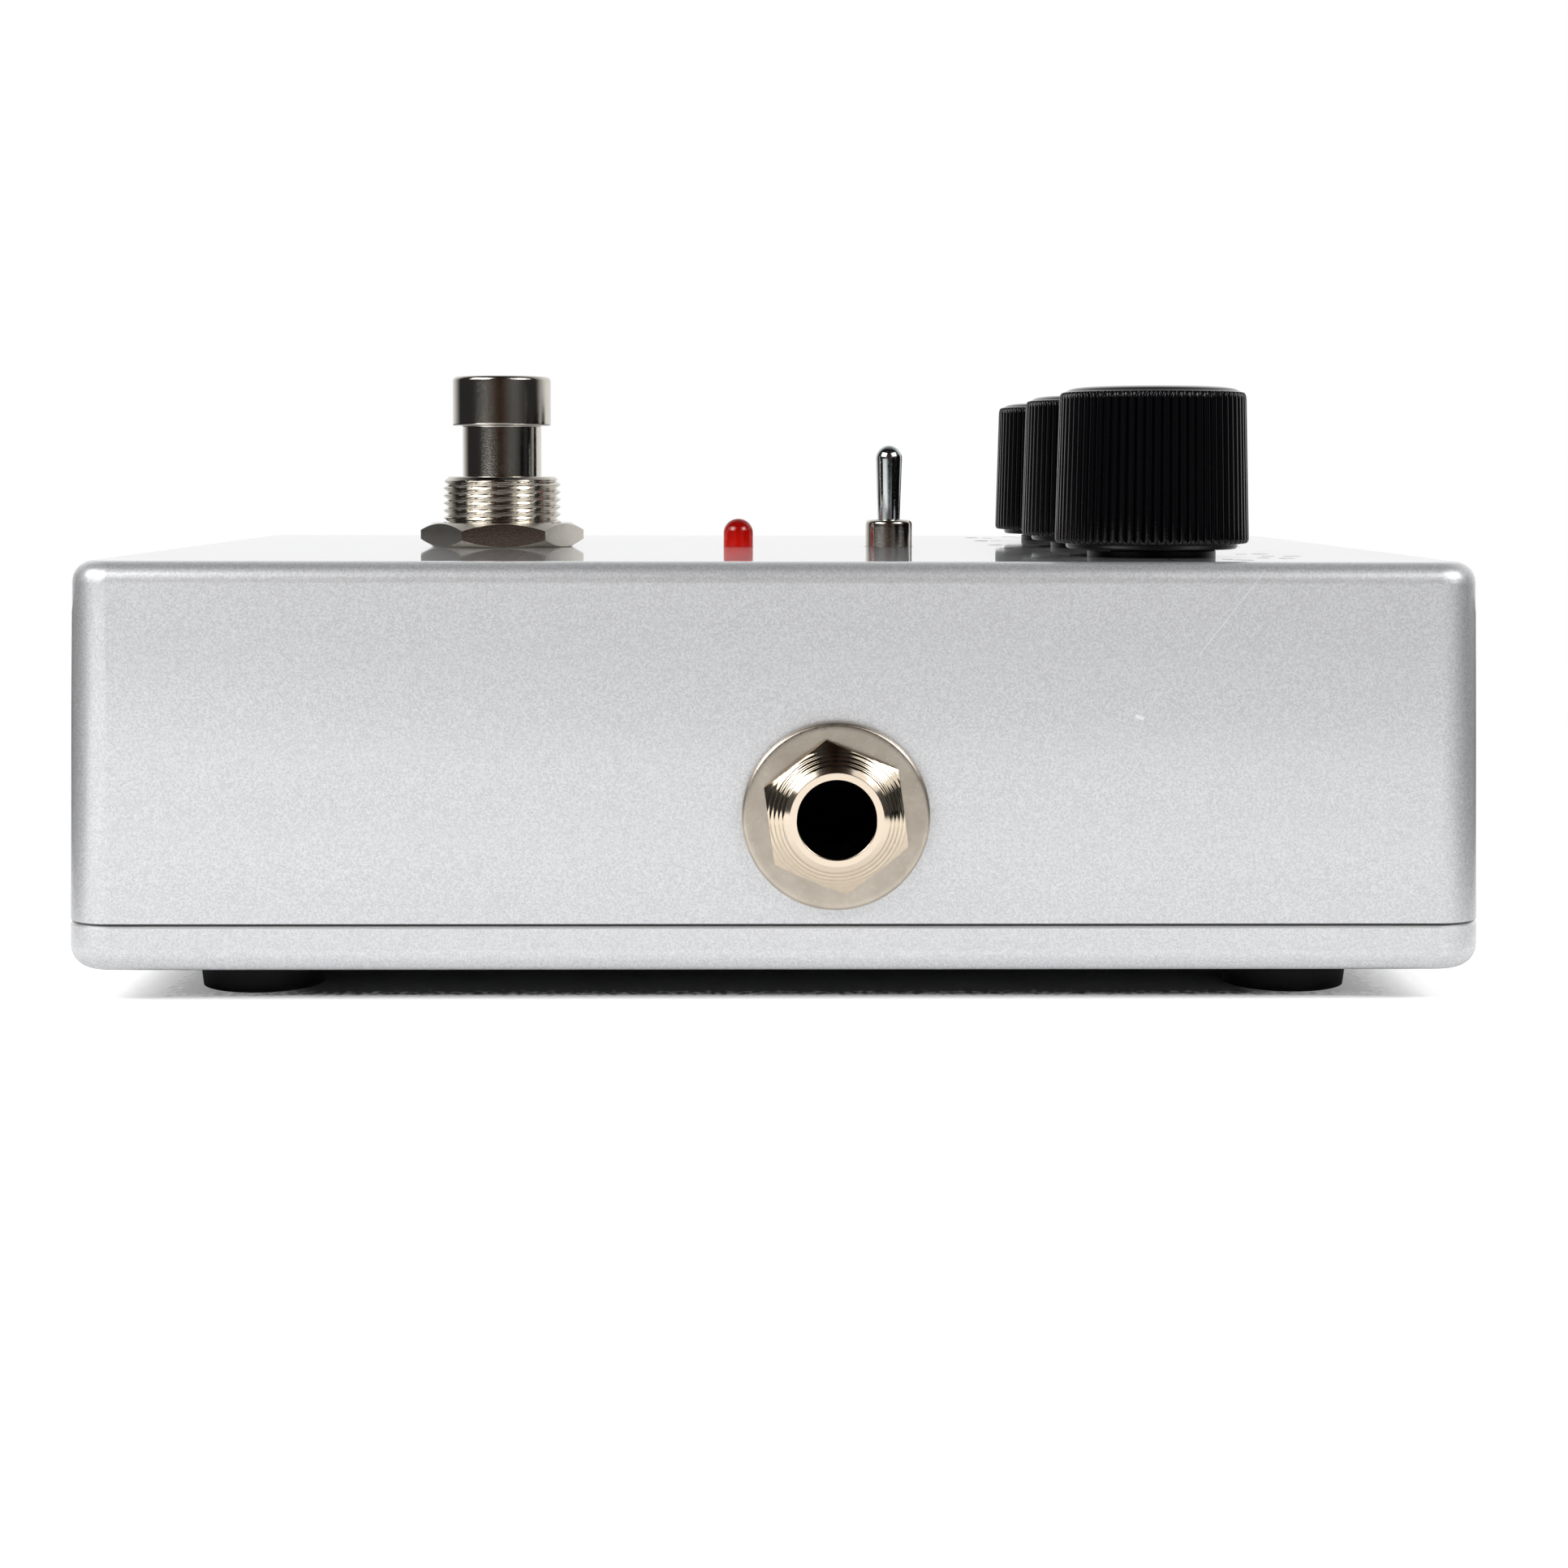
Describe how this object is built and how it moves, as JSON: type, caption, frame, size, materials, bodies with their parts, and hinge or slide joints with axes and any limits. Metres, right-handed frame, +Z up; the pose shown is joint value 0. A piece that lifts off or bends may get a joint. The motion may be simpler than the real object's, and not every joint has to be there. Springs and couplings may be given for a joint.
{
  "type": "guitar effects pedal",
  "caption": "Die-cast metal stompbox effects pedal with fluted control knobs, mini toggle, status lamp, footswitch, side jacks and power inlet.",
  "frame": {"origin": "centre of the footprint, on the surface that the rubber feet stand on", "axes": "+Z up, +Y towards the knob end, +X towards the input jack (the right side for the player)"},
  "size_m": [0.0996, 0.12, 0.0556],
  "materials": {
    "silver_paint": "silver metallic enamel under clear lacquer",
    "plated_steel": "zinc or nickel plated",
    "foot_rubber": "matt moulded",
    "knob_plastic": "moulded, fluted, satin",
    "zinc_alloy": "as cast",
    "phenolic_board": "punched laminate",
    "tinned_brass": "tinned",
    "nickel_plate": "bright nickel on brass",
    "chrome_plate": "bright",
    "blue_phenolic": "moulded",
    "red_epoxy": "clear cast resin, tinted red",
    "white_nylon": "moulded",
    "black_plastic": "moulded",
    "board_laminate": "solder-masked glass laminate",
    "capacitor_sleeve": "shrunk sleeve",
    "capacitor_film": "dipped epoxy",
    "resistor_ceramic": "lacquered",
    "battery_jacket": "plain wrapped jacket",
    "wire_insulation": "PVC",
    "ribbon_insulation": "PVC ribbon"
  },
  "bodies": {
    "box": {"amplifier_chips": "black_plastic", "battery": "battery_jacket", "battery_clip": "black_plastic", "battery_leads": "wire_insulation", "battery_studs": "nickel_plate", "chip_legs": "tinned_brass", "circuit_board": "board_laminate", "electrolytic_capacitors": "capacitor_sleeve", "enclosure": "silver_paint", "film_capacitors": "capacitor_film", "footswitch_bushing": "nickel_plate", "footswitch_case": "blue_phenolic", "footswitch_cover": "plated_steel", "footswitch_inner_nut": "plated_steel", "footswitch_lock_washer": "plated_steel", "footswitch_lugs": "tinned_brass", "footswitch_nut": "nickel_plate", "footswitch_ribbon": "ribbon_insulation", "footswitch_spring": "plated_steel", "input_jack_contacts": "tinned_brass", "input_jack_housing": "black_plastic", "input_jack_nut": "nickel_plate", "input_jack_sleeve": "nickel_plate", "input_jack_washer": "nickel_plate", "led_lamp": "red_epoxy", "led_leads": "tinned_brass", "led_spacer": "white_nylon", "lid": "silver_paint", "lid_screws": "plated_steel", "output_jack_contacts": "tinned_brass", "output_jack_housing": "black_plastic", "output_jack_nut": "nickel_plate", "output_jack_sleeve": "nickel_plate", "output_jack_washer": "nickel_plate", "pot_bushings": "zinc_alloy", "pot_cans": "plated_steel", "pot_nuts": "plated_steel", "pot_pins": "tinned_brass", "pot_wafers": "phenolic_board", "pot_washers": "plated_steel", "power_inlet_housing": "black_plastic", "power_inlet_pins": "tinned_brass", "power_inlet_prong": "nickel_plate", "resistors": "resistor_ceramic", "rubber_feet": "foot_rubber", "toggle_case": "blue_phenolic", "toggle_collar": "chrome_plate", "toggle_pins": "tinned_brass"},
    "knob_left_body": {"knob_left": "knob_plastic", "pot_shaft_left": "zinc_alloy"},
    "knob_center_body": {"knob_center": "knob_plastic", "pot_shaft_center": "zinc_alloy"},
    "knob_right_body": {"knob_right": "knob_plastic", "pot_shaft_right": "zinc_alloy"},
    "plunger_body": {"footswitch_plunger": "nickel_plate"},
    "lever_body": {"toggle_lever": "chrome_plate"}
  },
  "joints": [
    {"name": "knob_left_turn", "type": "hinge", "parent": "box", "child": "knob_left_body", "pos_m": [-0.0291, 0.034, 0.04], "axis": [0, 0, 1], "range_deg": [-150, 150]},
    {"name": "knob_center_turn", "type": "hinge", "parent": "box", "child": "knob_center_body", "pos_m": [0, 0.034, 0.04], "axis": [0, 0, 1], "range_deg": [-150, 150]},
    {"name": "knob_right_turn", "type": "hinge", "parent": "box", "child": "knob_right_body", "pos_m": [0.0291, 0.034, 0.04], "axis": [0, 0, 1], "range_deg": [-150, 150]},
    {"name": "footswitch_press", "type": "slide", "parent": "box", "child": "plunger_body", "axis": [0, 0, -1], "range_m": [0, 0.0018], "stiffness_N_per_m": 3000, "springref_m": -0.001, "deforming": ["footswitch_spring"]},
    {"name": "toggle_flip", "type": "hinge", "parent": "box", "child": "lever_body", "pos_m": [0, 0.0118, 0.0393], "axis": [0, 1, 0], "range_deg": [-13, 13]}
  ]
}
